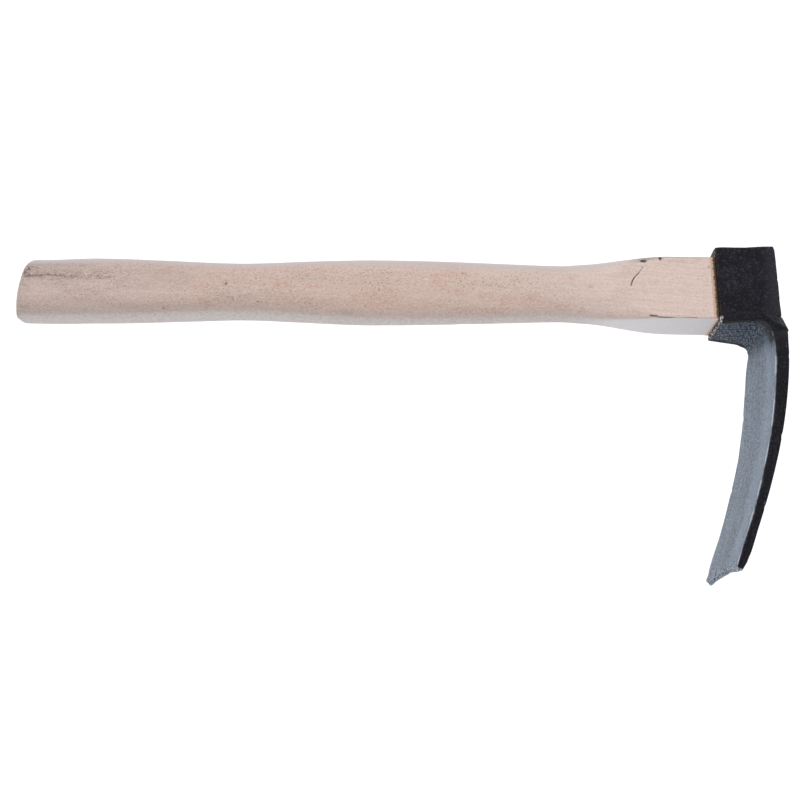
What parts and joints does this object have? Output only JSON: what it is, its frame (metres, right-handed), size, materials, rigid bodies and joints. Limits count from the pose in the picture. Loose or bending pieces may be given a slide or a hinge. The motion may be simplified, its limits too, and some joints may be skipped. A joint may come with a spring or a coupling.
{
  "type": "hand adze",
  "caption": "Short hand adze: wedged beech haft in a rectangular welded steel eye, with a long parallel blade bent down and curved back towards the hand.",
  "frame": {"origin": "centre of the flat crown face of the eye, on the tool's plane of symmetry", "axes": "+X along the haft from the butt towards the head, +Y across the tool, +Z out of the crown face, so the blade points towards -Z"},
  "size_m": [0.3947, 0.0564, 0.1627],
  "materials": {
    "haft_beech": "sanded, unvarnished beech, pale pinkish beige with grey dirt and rust smudges",
    "black_paint": "semi-gloss black brush paint with fine orange peel, worn through at the haft side",
    "blade_steel": "blue-grey ground steel on the inner face; black paint on the outer face and the edges",
    "weld_metal": "rippled weld bead under black paint",
    "wedge_wood": "sawn hardwood, end grain showing",
    "wedge_steel": "dull black steel with hammer marks"
  },
  "bodies": {
    "root": {"haft": "haft_beech", "eye_strap": "black_paint", "blade_plate": "blade_steel", "weld_bead_left": "weld_metal", "weld_bead_right": "weld_metal", "wood_wedge": "wedge_wood", "steel_wedges": "wedge_steel"}
  },
  "joints": []
}
